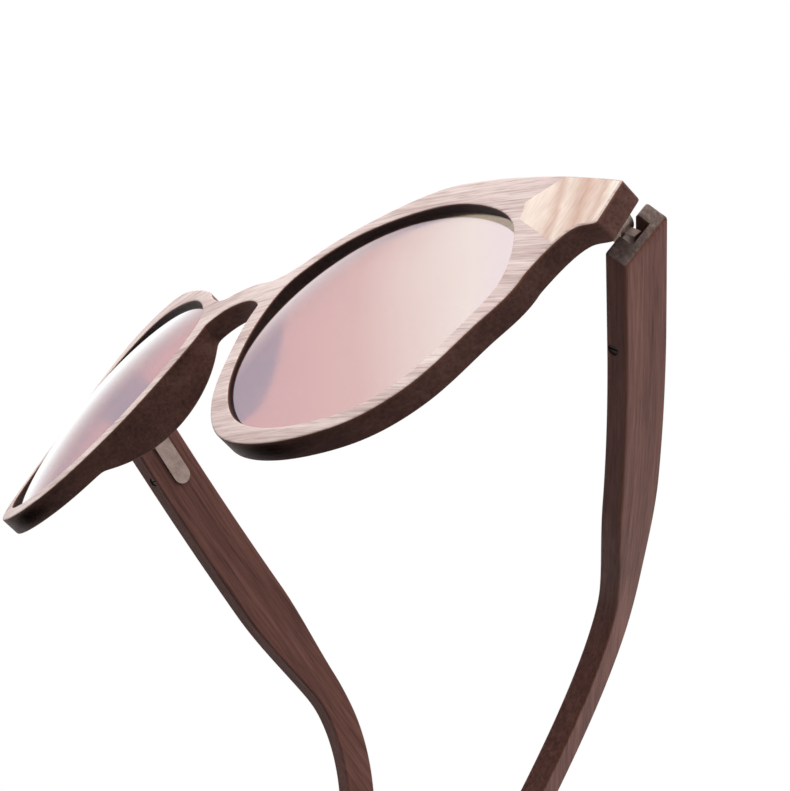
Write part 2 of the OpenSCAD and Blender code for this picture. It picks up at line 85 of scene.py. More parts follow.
# Steps of the meshes, lengths in millimetres and then counts
OUTLINE_STEP, OPENING_STEP, LENS_EDGE_STEP, CUT_STEP, CUT_CLEAR = 0.4, 0.5, 0.8, 0.4, 0.2
GRID_STEP, GRID_CLEAR, BORE_OVER, HOUSING_ROW, ARM_ROW = 1.2, 0.45, 1, 10, 20
LENS_STEPS, LENS_RINGS, BROW_STEPS, FILLET_STEPS, CORNER_STEPS = 10, 30, 24, 14, 5
TEMPLE_STEPS, TIP_STEPS, BORE_SIDES, TURN_STEPS, WIRE_SIDES = 90, 12, 40, 24, 10
SHARP_ANGLE, TIP_TURN = 40, 88

# Each point: share of the lens opening's half-width and half-height, of the rim and of the brow's extra
LENS_SHAPE = np.array([
    (1, 0.22, 1, 0.4), (0.93, -0.18, 0.82, 0), (0.76, -0.64, 0.8, 0), (0.47, -0.91, 0.87, 0), (0, -1, 1, 0),
    (-0.43, -0.88, 1.12, 0), (-0.76, -0.54, 1.07, 0), (-0.95, -0.1, 1.02, 0), (-1, 0.33, 1.3, 0),
    (-0.89, 0.6, 0.9, 0), (-0.5, 0.87, 0.78, 0), (0.12, 1, 1, 1), (0.57, 0.91, 1, 1), (0.85, 0.68, 1, 1),
])
LENS_X, LENS_Z = BRIDGE_W / 2 + LENS_W / 2, RIM_W + LENS_H / 2
END_X = FRONT_W / 2
END_TOP = LENS_Z + LENS_H / 2 + END_RISE
END_Z = END_TOP - END_H


def turn_x(points, degrees):
    """Points turned about X by the right-hand rule."""
    c, s = math.cos(math.radians(degrees)), math.sin(math.radians(degrees))
    return points @ np.array([[1, 0, 0], [0, c, s], [0, -s, c]])


def turn_z(points, degrees):
    """Points turned about Z by the right-hand rule."""
    c, s = math.cos(math.radians(degrees)), math.sin(math.radians(degrees))
    return points @ np.array([[c, s, 0], [-s, c, 0], [0, 0, 1]])


def front_to_row(points):
    """From the front's own frame, before it leans, to the row frame."""
    return turn_x(points, LEAN) + np.array([0, -ORIGIN_Y, -RIM_LOW])


def temple_to_row(points, side):
    """From the right temple's own frame to its place at rest: drawn out, folded, sloped, and for the
    left one mirrored."""
    fold, pull = FOLDS[side]
    placed = turn_x(turn_z(points + np.array([0, pull, 0]), fold), -TEMPLE_SLOPE) + PIVOT
    return placed * np.array([SIDES[side], 1, 1])


def row_to_temple(points, side):
    """The other way: from the row frame to the right temple's own frame."""
    fold, pull = FOLDS[side]
    level = turn_x(points * np.array([SIDES[side], 1, 1]) - PIVOT, TEMPLE_SLOPE)
    return turn_z(level, -fold) - np.array([0, pull, 0])


def smooth(t):
    """0 to 1 with level ends: 3c^2 - 2c^3 of t clamped to 0..1."""
    c = np.clip(t, 0, 1)
    return c * c * (3 - 2 * c)


def ring_curve(points, steps):
    """Closed Catmull-Rom curve through the points, with that many samples on each span."""
    p, q, r, s = (np.roll(points, k, 0)[:, None] for k in (1, 0, -1, -2))
    t = (np.arange(steps) / steps)[None, :, None]
    curve = 2 * q + (r - p) * t + (2 * p - 5 * q + 4 * r - s) * t**2 + (3 * q - p - 3 * r + s) * t**3
    return (curve / 2).reshape(-1, points.shape[1])


def fillet(p, q, r):
    """Quadratic Bezier from p to r, drawn towards q, without its last point."""
    t = (np.arange(FILLET_STEPS) / FILLET_STEPS)[:, None]
    return (1 - t) ** 2 * np.array(p) + 2 * t * (1 - t) * np.array(q) + t**2 * np.array(r)


def even(loop, step):
    """Closed loop resampled at equal arc lengths of about step."""
    closed = np.vstack([loop, loop[:1]])
    length = np.concatenate([[0], np.cumsum(np.linalg.norm(np.diff(closed, axis=0), axis=1))])
    at = np.arange(round(length[-1] / step)) * length[-1] / round(length[-1] / step)
    return np.stack([np.interp(at, length, closed[:, k]) for k in range(2)], 1)


def eased(loop):
    """Closed loop with its corners eased: each point moves to a quarter, half, quarter mean of three."""
    return (np.roll(loop, 1, 0) + 2 * loop + np.roll(loop, -1, 0)) / 4


def area(loop):
    """Signed area by the shoelace sum, positive when the loop runs anticlockwise."""
    x, z = loop.T
    return (x * np.roll(z, -1) - z * np.roll(x, -1)).sum() / 2


def outward(loop):
    """Unit normals out of a closed loop, from the chord between each point's neighbours."""
    chord = np.roll(loop, -1, 0) - np.roll(loop, 1, 0)
    normal = np.stack([chord[:, 1], -chord[:, 0]], 1) * np.sign(area(loop))
    return normal / np.linalg.norm(normal, axis=1)[:, None]


def inside(points, loop):
    """Even-odd test of each point against the loop, for all points and edges at once."""
    x, z = points[:, None, 0], points[:, None, 1]
    ax, az = loop[None, :, 0], loop[None, :, 1]
    bx, bz = (np.roll(loop, -1, 0)[None, :, k] for k in range(2))
    rise = np.where(bz == az, 1e-12, bz - az)
    crossed = ((az > z) != (bz > z)) & (x < (bx - ax) * (z - az) / rise + ax)
    return crossed.sum(1) % 2 == 1


def between(points, loops):
    """True for the points inside the first loop and outside the others, which are holes."""
    return inside(points, loops[0]) & ~np.any([inside(points, hole) for hole in loops[1:]], 0)


def sag(x, depth=0.0):
    """Y of the surface that lies depth behind the front's face: the wrap is a cylinder about an upright
    line at Y = WRAP_R."""
    return WRAP_R - np.sqrt((WRAP_R - depth) ** 2 - x**2)


def on_wrap(flat, depth):
    """Points (x, z) of the flat drawing, at a depth behind the front's face, in the front's frame."""
    depth = np.broadcast_to(depth, len(flat))
    return np.stack([flat[:, 0], sag(flat[:, 0], depth), flat[:, 1]], 1)


def front_grain(points):
    """Place in the front's wood: length round the wrap, height and depth behind the face."""
    x, y, z = turn_x(points - np.array([0, -ORIGIN_Y, -RIM_LOW]), -LEAN).T
    return np.stack([WRAP_R * np.arcsin(x / WRAP_R), z, WRAP_R - np.hypot(x, WRAP_R - y)], 1)


def back_depth(flat):
    """Depth of the back: the front's thickness plus the nose pads, two caps of a ball PAD_T high and
    PAD_LEN across. Half of the cap and the root of its square plus PAD_EASE lets the caps run out
    softly."""
    ball = (PAD_LEN**2 / 4 + PAD_T**2) / (2 * PAD_T)
    square = (np.abs(flat[:, 0]) - BRIDGE_W / 2) ** 2 + (flat[:, 1] - LENS_Z + PAD_DROP) ** 2
    cap = np.sqrt(np.maximum(ball**2 - square, 0)) - (ball - PAD_T)
    return FRONT_T + (cap + np.sqrt(cap**2 + PAD_EASE)) / 2


# Curves of the front in its flat drawing
lens_unit = ring_curve(LENS_SHAPE, LENS_STEPS)
lens_loop = np.stack([LENS_X + lens_unit[:, 0] * LENS_W / 2, LENS_Z + lens_unit[:, 1] * LENS_H / 2], 1)
rim_width = RIM_W * lens_unit[:, 2] + (BROW_W - RIM_W) * lens_unit[:, 3]
rim_loop = lens_loop + outward(lens_loop) * rim_width[:, None]


def bridge_top(share):
    """Point of the bridge's upper edge, a shallow arch, at a share of its half-width."""
    x = share * (BRIDGE_W / 2)
    return [x, LENS_Z + BRIDGE_RISE + BRIDGE_H - x * x / (2 * BRIDGE_ARCH_R)]


def half_outline():
    """Right half of the front's outline: under the bridge, round the rim, the end piece, the brow and
    the top of the bridge, which leaves the rim at its samples under and over."""
    under, over, brow = 8 * LENS_STEPS, 9 * LENS_STEPS + 4, int(rim_loop[:, 1].argmax())
    half_bridge, bridge_z = BRIDGE_W / 2, LENS_Z + BRIDGE_RISE
    outer, foot = rim_loop[0], [END_X - END_FOOT_IN, END_Z - END_FOOT_DROP]
    t = np.linspace(1, 0, BROW_STEPS, endpoint=False)[:, None]
    peak = rim_loop[brow]
    brow_line = np.hstack([peak[0] + (END_X - peak[0]) * t, peak[1] - (peak[1] - END_TOP) * t**2])
    return np.vstack([
        fillet([0, bridge_z], [BRIDGE_LOW_PULL * half_bridge, bridge_z], rim_loop[under]),
        rim_loop[under:0:-1],
        fillet(outer, [outer[0] + END_BEND_OUT, END_Z - END_BEND_DROP], foot),
        [foot, [END_X, END_Z]],
        brow_line,
        rim_loop[brow:over:-1],
        fillet(rim_loop[over], bridge_top(BRIDGE_TOP_PULL), bridge_top(BRIDGE_TOP_SPAN)),
        [bridge_top(share) for share in (BRIDGE_TOP_SPAN, BRIDGE_TOP_SPAN / 2, 0)],
    ])


half = half_outline()
MIRROR = np.array([-1, 1])
outline = eased(even(np.vstack([half, half[-2:0:-1] * MIRROR]), OUTLINE_STEP))
opening = even(lens_loop, OPENING_STEP)
openings = {"right": opening, "left": opening[::-1] * MIRROR}

# Corners of the right splice, from above the brow down its saw cut, by shares of its length and of the end
# piece's height
SPLICE_TOP, SPLICE_LOW, SPLICE_END = rim_loop[:, 1].max() + 1, END_Z - 0.54 * END_H, END_X - SPLICE_LIP
SPLICE_CUT = np.array([
    (END_X - 0.55 * SPLICE_LEN, SPLICE_TOP), (END_X - SPLICE_LEN, END_Z + 0.6 * END_H),
    (END_X - 0.92 * SPLICE_LEN, END_Z + 0.17 * END_H), (END_X - 0.24 * SPLICE_LEN, SPLICE_LOW),
])
SPLICE_AREA = np.vstack([SPLICE_CUT, [(SPLICE_END, SPLICE_LOW), (SPLICE_END, SPLICE_TOP)]])


def linear(hex_colour):
    """sRGB hex to linear RGBA."""
    parts = [int(hex_colour[k:k + 2], 16) / 255 for k in (1, 3, 5)]
    return [c / 12.92 if c <= 0.04045 else ((c + 0.055) / 1.055) ** 2.4 for c in parts] + [1]


def add(tree, kind, links=(), inputs=(), **settings):
    """Adds a node: settings are its attributes, inputs are pairs of socket and value, and links are
    pairs of socket and source."""
    made = tree.nodes.new("ShaderNode" + kind)
    for name, value in settings.items():
        setattr(made, name, value)
    for socket, value in inputs:
        made.inputs[socket].default_value = value
    for socket, source in links:
        tree.links.new(source, made.inputs[socket])
    return made


def ramp(made, stops):
    """Sets a colour ramp's stops, pairs of position and hex colour."""
    band = made.color_ramp
    while len(band.elements) < len(stops):
        band.elements.new(0.5)
    for element, (position, colour) in zip(band.elements, stops):
        element.position = position
        element.color = linear(colour)
    return made


def new_material(name):
    """An empty node material with its output and a Principled shader."""
    made = bpy.data.materials.new(name)
    made.use_nodes = True
    made.node_tree.nodes.clear()
    tree = made.node_tree
    out = add(tree, "OutputMaterial")
    shader = add(tree, "BsdfPrincipled")
    tree.links.new(shader.outputs[0], out.inputs[0])
    return made, tree, shader


def grain_noise(tree, source, along, across, **noise):
    """Noise stretched along the grain: along and across are its real sizes in metres."""
    sized = add(tree, "Mapping", [("Vector", source)], [("Scale", (1 / along, 1 / across, 1 / across))])
    inputs = [("Scale", 1)] + list(noise.items())
    return add(tree, "TexNoise", [("Vector", sized.outputs[0])], inputs).outputs[0]


def slanted(tree, grain, cloud, share, drift, start, end):
    """Place across a piece, 0 at start and 1 at end, both in metres: the distance out from the middle
    plus a share of the height, moved by a cloud of noise times drift."""
    parts = add(tree, "SeparateXYZ", [("Vector", grain)])
    out = add(tree, "Math", [(0, parts.outputs["X"])], operation="ABSOLUTE").outputs[0]
    leant = add(tree, "Math", [(0, parts.outputs["Y"]), (2, out)], [(1, share)], operation="MULTIPLY_ADD")
    moved = add(tree, "Math", [(0, cloud), (2, leant.outputs[0])], [(1, drift)], operation="MULTIPLY_ADD")
    ends = [("From Min", start), ("From Max", end)]
    return add(tree, "MapRange", [("Value", moved.outputs[0])], ends).outputs[0]


def walnut(name, face, core, ply):
    """Oiled walnut, sanded fine: broad figure, fibre streaks a little over half a millimetre wide and
    dark open pores. The face ply is paler than the core, and ply gives the depth in metres at which one
    gives way to the other. The face ply's paler colours are painted light on the lit face, and a warm
    brown line at the ply's edge is a painted highlight along the rounded edges."""
    made, tree, shader = new_material(name)
    grain = add(tree, "Attribute", attribute_name="grain").outputs["Vector"]
    depth = add(tree, "SeparateXYZ", [("Vector", grain)]).outputs["Z"]
    figure = grain_noise(tree, grain, 0.05, 0.0045, Detail=3, Distortion=0.6)
    fibre = grain_noise(tree, grain, 0.013, 0.0006, Detail=4, Roughness=0.65)
    # Real pores are about 0.1 mm wide, too fine to show, so they are drawn nearly three times as wide
    pore = grain_noise(tree, grain, 0.0058, 0.00028, Detail=3, Roughness=0.55)
    streak = add(tree, "Mix", [("A", figure), ("B", fibre)], [("Factor", 0.55)]).outputs["Result"]
    # The face band's paler colours are painted light on the lit face
    bands = []
    for colours in (face, core):
        stops = list(zip((0.34, 0.5, 0.66), colours))
        bands.append(ramp(add(tree, "ValToRGB", [("Fac", streak)]), stops).outputs["Color"])
    shares = []
    for low, high in ((0.7, 1.3), (1.6, 4)):
        spread = [("From Min", ply * low), ("From Max", ply * high)]
        share = add(tree, "MapRange", [("Value", depth)], spread, interpolation_type="SMOOTHSTEP")
        shares.append(share.outputs[0])
    # Warm brown line just under the face ply: a painted highlight along the rounded edges
    painted_edge_highlight = [("A", linear("#6f4735"))]
    edge = add(tree, "Mix", [("Factor", shares[1]), ("B", bands[1])], painted_edge_highlight, data_type="RGBA")
    layers = [("Factor", shares[0]), ("A", bands[0]), ("B", edge.outputs["Result"])]
    wood = add(tree, "Mix", layers, data_type="RGBA").outputs["Result"]
    hollow = [("From Min", 0.34), ("From Max", 0.48), ("To Min", 0.72)]
    pores = add(tree, "MapRange", [("Value", pore)], hollow).outputs[0]
    dark = add(tree, "Mix", [("A", wood), ("B", pores)], [("Factor", 1)],
               data_type="RGBA", blend_type="MULTIPLY")
    tree.links.new(dark.outputs["Result"], shader.inputs["Base Color"])
    rough = add(tree, "MapRange", [("Value", streak)], [("To Min", 0.62), ("To Max", 0.46)]).outputs[0]
    tree.links.new(rough, shader.inputs["Roughness"])
    bump = add(tree, "Bump", [("Height", pores)], [("Strength", 0.35), ("Distance", 0.00008)])
    tree.links.new(bump.outputs[0], shader.inputs["Normal"])
    shader.inputs["IOR"].default_value = 1.5
    shader.inputs["Specular IOR Level"].default_value = 0.14
    return made


def pale_splice():
    """Sapwood of the same tree, cream with pinkish heart bands that run down the splice beside the end
    of the front."""
    made, tree, shader = new_material("sapwood_splice")
    grain = add(tree, "Attribute", attribute_name="grain").outputs["Vector"]
    wobble = grain_noise(tree, grain, 0.006, 0.006, Detail=2)
    place = slanted(tree, grain, wobble, share=0.32, drift=0.0035, start=0.072, end=0.0885)
    bands = ramp(add(tree, "ValToRGB", [("Fac", place)]), [
        (0, "#dbc5b8"), (0.14, "#eddcce"), (0.3, "#e7d3c6"), (0.4, "#cfb0a1"), (0.47, "#e7d4c7"),
        (0.56, "#dcc4b6"), (0.66, "#caa797"), (0.76, "#dec6b8"), (0.84, "#d2b6a8"), (0.92, "#f1e3d5"),
    ])
    fibre = grain_noise(tree, grain, 0.00042, 0.004, Detail=4, Roughness=0.6)
    spread = [("From Min", 0.3), ("From Max", 0.7), ("To Min", 0.82), ("To Max", 1.04)]
    tone = add(tree, "MapRange", [("Value", fibre)], spread)
    toned = add(tree, "Mix", [("A", bands.outputs["Color"]), ("B", tone.outputs[0])], [("Factor", 1)],
                data_type="RGBA", blend_type="MULTIPLY")
    tree.links.new(toned.outputs["Result"], shader.inputs["Base Color"])
    bump = add(tree, "Bump", [("Height", fibre)], [("Strength", 0.15), ("Distance", 0.00006)])
    tree.links.new(bump.outputs[0], shader.inputs["Normal"])
    shader.inputs["Roughness"].default_value = 0.5
    shader.inputs["IOR"].default_value = 1.5
    shader.inputs["Specular IOR Level"].default_value = 0.35
    return made


def mirror_lens():
    """Polycarbonate with a half-silvered rose coat: it mirrors the room and still lets the light
    through, so that the rim and the pads behind it darken it, and the tint is densest towards the nose
    and the foot."""
    made, tree, shader = new_material("rose_mirror_polycarbonate")
    grain = add(tree, "Attribute", attribute_name="grain").outputs["Vector"]
    cloud = grain_noise(tree, grain, 0.02, 0.02, Detail=1)
    place = slanted(tree, grain, cloud, share=0.6, drift=0.006, start=0.018, end=0.082)
    tint = ramp(add(tree, "ValToRGB", [("Fac", place)]), [
        (0.08, "#a84f38"), (0.25, "#bb6a4e"), (0.6, "#c98a6c"), (0.9, "#e9d2c3"), (0.97, "#e9cfcd"),
    ]).outputs["Color"]
    # Seen along its surface the coat sends nearly all the light back, and the tint washes out to white
    edge_on = add(tree, "LayerWeight", [], [("Blend", 0.5)]).outputs["Facing"]
    washed = add(tree, "MapRange", [("Value", edge_on)], [("From Min", 0.71), ("From Max", 0.87)]).outputs[0]
    white = linear("#ffffff")
    seen = add(tree, "Mix", [("Factor", washed), ("A", tint)], [("B", white)], data_type="RGBA")
    tree.links.new(seen.outputs["Result"], shader.inputs["Base Color"])
    # Seen straight on, the coat's own reflection is slightly violet
    violet = [("A", linear("#e8e2f6")), ("B", white)]
    coat = add(tree, "Mix", [("Factor", washed)], violet, data_type="RGBA")
    tree.links.new(coat.outputs["Result"], shader.inputs["Specular Tint"])
    tree.links.new(washed, shader.inputs["Metallic"])
    smear = grain_noise(tree, grain, 0.012, 0.006, Detail=3)
    rough = add(tree, "MapRange", [("Value", smear)], [("To Min", 0.02), ("To Max", 0.06)]).outputs[0]
    tree.links.new(rough, shader.inputs["Roughness"])
    shader.inputs["Transmission Weight"].default_value = 1
    # An index far above the plastic's own, about 1.59, stands for the coat's strong reflection
    shader.inputs["IOR"].default_value = 4.6
    return made


def satin_metal(name, pale, dark, roughness):
    """Stamped metal, tumbled: fine directionless scratches, drawn 0.15 mm wide so that they show, and a
    slight mottle."""
    made, tree, shader = new_material(name)
    place = add(tree, "TexCoord").outputs["Object"]
    scratch = grain_noise(tree, place, 0.0011, 0.00015, Detail=3)
    mottle = grain_noise(tree, place, 0.0016, 0.0016, Detail=2)
    tone = add(tree, "Mix", [("A", scratch), ("B", mottle)], [("Factor", 0.5)]).outputs["Result"]
    band = ramp(add(tree, "ValToRGB", [("Fac", tone)]), [(0.32, dark), (0.66, pale)])
    tree.links.new(band.outputs["Color"], shader.inputs["Base Color"])
    spread = [("To Min", roughness - 0.08), ("To Max", roughness + 0.1)]
    rough = add(tree, "MapRange", [("Value", scratch)], spread)
    tree.links.new(rough.outputs[0], shader.inputs["Roughness"])
    bump = add(tree, "Bump", [("Height", scratch)], [("Strength", 0.12), ("Distance", 0.00002)])
    tree.links.new(bump.outputs[0], shader.inputs["Normal"])
    shader.inputs["Metallic"].default_value = 1
    return made


def closed_mesh(name, points, faces, finish=None):
    """A mesh of points in millimetres, merged and turned outwards, with each face's number in the list
    of finishes."""
    mesh = bpy.data.meshes.new(name)
    mesh.from_pydata((points * MM).tolist(), [], [list(f) for f in faces])
    if finish is not None:
        mesh.polygons.foreach_set("material_index", np.asarray(finish, np.int32))
    work = bmesh.new()
    work.from_mesh(mesh)
    bmesh.ops.remove_doubles(work, verts=work.verts, dist=1e-7)
    bmesh.ops.recalc_face_normals(work, faces=work.faces)
    work.to_mesh(mesh)
    work.free()
    return mesh


def bored(made, bore):
    """Takes a bored hole, given as its points and faces, out of a piece."""
    cutter = bpy.data.objects.new("bore", closed_mesh("bore", *bore))
    bpy.context.scene.collection.objects.link(cutter)
    taken = made.modifiers.new("bore", "BOOLEAN")
    taken.object = cutter
    taken.operation = "DIFFERENCE"
    taken.solver = "EXACT"
    made.data = bpy.data.meshes.new_from_object(made.evaluated_get(bpy.context.evaluated_depsgraph_get()))
    made.modifiers.clear()
    bpy.data.objects.remove(cutter)


def piece(name, points, faces, grain, materials, body, replaced, finish=None, bore=None):
    """Makes a closed piece in the row frame that rides on a body, where one is named. The function
    grain gives each point's place in the wood (along, across, depth) in millimetres, which is stored in
    metres as an attribute."""
    mesh = closed_mesh(name, points, faces, finish)
    for material in materials:
        mesh.materials.append(material)
    made = bpy.data.objects.new(name, mesh)
    bpy.context.scene.collection.objects.link(made)
    if bore:
        bored(made, bore)
    mesh = made.data
    places = np.empty(3 * len(mesh.vertices))
    mesh.vertices.foreach_get("co", places)
    stored = mesh.attributes.new("grain", "FLOAT_VECTOR", "POINT")
    stored.data.foreach_set("vector", (grain(places.reshape(-1, 3) / MM) * MM).astype(np.float32).ravel())
    mesh.shade_smooth()
    mesh.set_sharp_from_angle(angle=math.radians(SHARP_ANGLE))
    if body:
        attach(made, body)
    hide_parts(*replaced)
    return made


def strip(rows):
    """Quads between neighbouring rows of vertex numbers round a closed loop."""
    upper, lower = rows[:-1], rows[1:]
    return np.stack([upper, np.roll(upper, -1, 1), np.roll(lower, -1, 1), lower], 2).reshape(-1, 4)


def flat_fill(loops, cuts):
    """Triangles of the flat drawing between the loops (the first outside, the others holes), with grid
    points GRID_STEP apart inside and the cut lines kept as edges. Returns the points, the triangles and
    each loop's own numbers."""
    low, high = loops[0].min(0), loops[0].max(0)
    lines = [np.arange(low[k], high[k], GRID_STEP) for k in range(2)]
    grid = np.stack(np.meshgrid(*lines), 2).reshape(-1, 2)
    border = np.vstack(loops)
    room = np.vstack([border, *cuts])
    near = np.sqrt(((grid[:, None] - room[None]) ** 2).sum(2)).min(1)
    grid = grid[between(grid, loops) & (near > GRID_CLEAR)]
    edges, first = [], 0
    for loop in loops:
        ids = first + np.arange(len(loop))
        edges += np.stack([ids, np.roll(ids, -1)], 1).tolist()
        first += len(loop)
    for cut in cuts:
        ids = first + np.arange(len(cut))
        edges += np.stack([ids[:-1], ids[1:]], 1).tolist()
        first += len(cut)
    points = np.vstack([room, grid])
    made = delaunay_2d_cdt([tuple(p) for p in points], edges, [], 0, 1e-5, True)
    place = {given: made_id for made_id, givens in enumerate(made[3]) for given in givens}
    flat = np.array([tuple(v) for v in made[0]])
    triangles = np.array(made[2])
    keep = between(flat[triangles].mean(1), loops)
    numbers = np.array([place[k] for k in range(len(border))])
    return flat, triangles[keep], np.split(numbers, np.cumsum([len(loop) for loop in loops])[:-1])


def cut_points():
    """Both splices' saw cuts, sampled every CUT_STEP and kept inside the wood."""
    parts = []
    for a, b in zip(SPLICE_CUT[:-1], SPLICE_CUT[1:]):
        parts.append(np.linspace(a, b, int(np.linalg.norm(b - a) / CUT_STEP) + 1)[:-1])
    line = np.vstack(parts + [SPLICE_CUT[-1:]])
    clear = EDGE_R + CUT_CLEAR
    wood = [outline - outward(outline) * clear, opening + outward(opening) * clear]
    line = line[between(line, wood)]
    return [line, line * MIRROR]


def carved_front(wood, shade_wood, sapwood):
    """The front as two skins over its flat drawing, the face and the back with its pads, joined round the
    outline and the openings by walls. A wall's edges are quarter rounds of radius r = EDGE_R: at the angle a
    the inset is r(1 - cos a) and the depth r(1 - sin a). The openings' walls carry painted shade, a
    near-black wood from below the face's edge, and the outline's wall does not."""
    borders = [outline, openings["right"], openings["left"]]
    outs = [-outward(outline), outward(openings["right"]), outward(openings["left"])]
    flat, triangles, numbers = flat_fill([b + n * EDGE_R for b, n in zip(borders, outs)], cut_points())
    count = len(flat)
    points = [on_wrap(flat, 0), on_wrap(flat, back_depth(flat))]
    faces = triangles.tolist() + (triangles[:, ::-1] + count).tolist()
    finish = [0] * len(faces)
    first = 2 * count
    angles = np.radians((72, 54, 36, 18, 0))
    for border, normal, face_ids in zip(borders, outs, numbers):
        rows = [face_ids]
        rounds = [(a, False) for a in angles] + [(a, True) for a in angles[::-1]]
        for a, behind in rounds:
            spot = border + normal * EDGE_R * (1 - math.cos(a))
            rise = EDGE_R * (1 - math.sin(a))
            depth = back_depth(spot) - rise if behind else np.full(len(spot), rise)
            points.append(on_wrap(spot, depth))
            rows.append(first + np.arange(len(spot)))
            first += len(spot)
        rows.append(face_ids + count)
        faces += strip(np.array(rows)).tolist()
        # From this row on, an opening's wall gets the near-black painted shade
        shade_from = len(rows) if border is outline else 3
        walled = np.arange(len(rows) - 1) >= shade_from
        finish += np.repeat(walled.astype(int), len(border)).tolist()
    piece("carved_front", front_to_row(np.vstack(points)), faces, front_grain, [wood, shade_wood], "front",
          ["front_frame"], finish)
    middle = flat[triangles].mean(1)
    for side, sign in SIDES.items():
        chosen = triangles[inside(middle * np.array([sign, 1]), SPLICE_AREA)]
        splice(side, flat, chosen, sapwood)


def splice(side, flat, triangles, sapwood):
    """A splice as the face's own triangles, SPLICE_PROUD above it, closed SPLICE_DEEP below by a copy
    and a wall round its border."""
    used, renumbered = np.unique(triangles, return_inverse=True)
    triangles = renumbered.reshape(-1, 3)
    spots = flat[used]
    count = len(used)
    sides = np.vstack([triangles[:, [0, 1]], triangles[:, [1, 2]], triangles[:, [2, 0]]])
    key = np.sort(sides, 1) @ np.array([count, 1])
    values, counts = np.unique(key, return_counts=True)
    border = sides[np.isin(key, values[counts == 1])]
    walls = np.stack([border[:, 0], border[:, 0] + count, border[:, 1] + count, border[:, 1]], 1)
    faces = triangles.tolist() + (triangles[:, ::-1] + count).tolist() + walls.tolist()
    points = np.vstack([on_wrap(spots, -SPLICE_PROUD), on_wrap(spots, SPLICE_DEEP)])
    piece(side + "_splice", front_to_row(points), faces, front_grain, [sapwood], "front",
          [side + "_corner_inlay"])


def lens_shell(flat, radius):
    """Points over the flat drawing on a ball about the lens's own centre: Y is the centre's less the
    root of the squared radius minus the squared distance from the centre in X and Z."""
    deep, face = LENS_R - LENS_CROWN, sag(LENS_X)
    centre = np.array([LENS_X * (1 - deep / WRAP_R), LENS_Z])
    y = face + deep * (1 - face / WRAP_R) - np.sqrt(radius**2 - ((flat - centre) ** 2).sum(1))
    return np.stack([flat[:, 0], y, flat[:, 1]], 1)


def lens(side, coat):
    """A lens as rings t of its outline about its middle, laid on two balls LENS_T apart and closed at
    its edge, which lies in the wood and fills the share LENS_SEAT of the groove."""
    loop = even(lens_loop, LENS_EDGE_STEP)
    loop = loop + outward(loop) * LENS_BITE * LENS_SEAT
    middle = np.array([LENS_X, LENS_Z])
    rings = np.linspace(0, 1, LENS_RINGS)[1:]
    spots = np.vstack([middle[None], (middle + rings[:, None, None] * (loop - middle)).reshape(-1, 2)])
    count = len(spots)
    rows = 1 + np.arange(count - 1).reshape(len(rings), len(loop))
    fan = np.stack([np.zeros(len(loop), int), rows[0], np.roll(rows[0], -1)], 1)
    faces = fan.tolist() + strip(rows).tolist()
    faces += (fan[:, ::-1] + count).tolist() + (strip(rows)[:, ::-1] + count).tolist()
    faces += strip(np.array([rows[-1], rows[-1] + count])).tolist()
    points = np.vstack([lens_shell(spots, LENS_R), lens_shell(spots, LENS_R - LENS_T)])
    placed = front_to_row(points) * np.array([SIDES[side], 1, 1])
    piece(side + "_sun_lens", placed, faces, front_grain, [coat], "front", [side + "_lens"])


def temple_section(half, groove, lip, lift):
    """Loops of (u, z) round a temple's sections, a row for each half-height: a rectangle TEMPLE_T wide
    with quarter rounds of CORNER_R at its corners, each held by a point CORNER_HOLD past it, and
    grooved on its inner side, u = 0, between lift - lip and lift + lip."""
    c, hold = CORNER_R, CORNER_R + CORNER_HOLD
    low, high, width = c - half, half - c, TEMPLE_T
    turns = np.radians(np.linspace(0, 90, CORNER_STEPS))

    def arc(u, z, start):
        """Quarter round about (u, z) from the angle start."""
        return [(u + c * math.cos(start + t), z + c * math.sin(start + t)) for t in turns]

    loop = arc(width - c, high, 0) + [(width - hold, half), (hold, half)] + arc(c, high, math.pi / 2)
    loop += [(0, half - hold), (0, lift + lip), (groove, lift + lip)]
    loop += [(groove, lift - lip), (0, lift - lip), (0, hold - half)]
    loop += arc(c, low, math.pi) + [(hold, -half), (width - hold, -half)]
    loop += arc(width - c, low, 1.5 * math.pi) + [(width, hold - half), (width, half - hold)]
    return [np.stack([np.broadcast_to(p[k], half.shape) for p in loop], 1) for k in range(2)]


def temple_path(y):
    """Height of the middle line, its fall per millimetre and the temple's height, at distances behind
    the pivot: level up to the ear, then falling with the square of the distance past it."""
    slope, middle = math.radians(TEMPLE_SLOPE), TEMPLE_TOP - TEMPLE_H / 2
    tip_drop = (PIVOT[2] - WAIST_H / 2 - REACH * math.sin(slope)) / math.cos(slope) + middle
    bend = np.maximum(y - EAR_Y, 0) / (REACH - EAR_Y)
    height = TEMPLE_H - (TEMPLE_H - WAIST_H) * smooth((y - TAPER_Y) / TAPER_LEN)
    return middle - tip_drop * bend**2, 2 * tip_drop * bend / (REACH - EAR_Y), height


def bow(y):
    """Seen from above, the shift in X of the temple's inner side and its turn: it curves in on a radius
    BOW_R from BOW_Y and eases out along the ear bend."""
    ear = np.clip((y - EAR_Y) / (REACH - EAR_Y), 0, 1)
    bent = np.maximum(np.minimum(y, EAR_Y) - BOW_Y, 0)
    return -bent * (bent / 2 + (REACH - EAR_Y) * (ear - ear**2 / 2)) / BOW_R, bent / BOW_R * (1 - ear)


def bowed(u, y, z):
    """Points of the temple's frame, with u measured out from the bowed inner side and square to it."""
    shift, turn = bow(y)
    scale = np.hypot(1, turn)
    return np.stack([PIVOT_IN + shift + u / scale, y + u * turn / scale, z], -1)


def butt_y(u, z):
    """Y at which a temple's end meets the front: BUTT_GAP behind the wrap's back, cut in the open
    position."""
    tilt = math.radians(LEAN + TEMPLE_SLOPE)
    base = turn_x(PIVOT + np.array([0, ORIGIN_Y, RIM_LOW]), -LEAN)
    y = sag(base[0] + PIVOT_IN + u, FRONT_T + BUTT_GAP)
    return (y - base[1] - z * math.sin(tilt)) / math.cos(tilt)


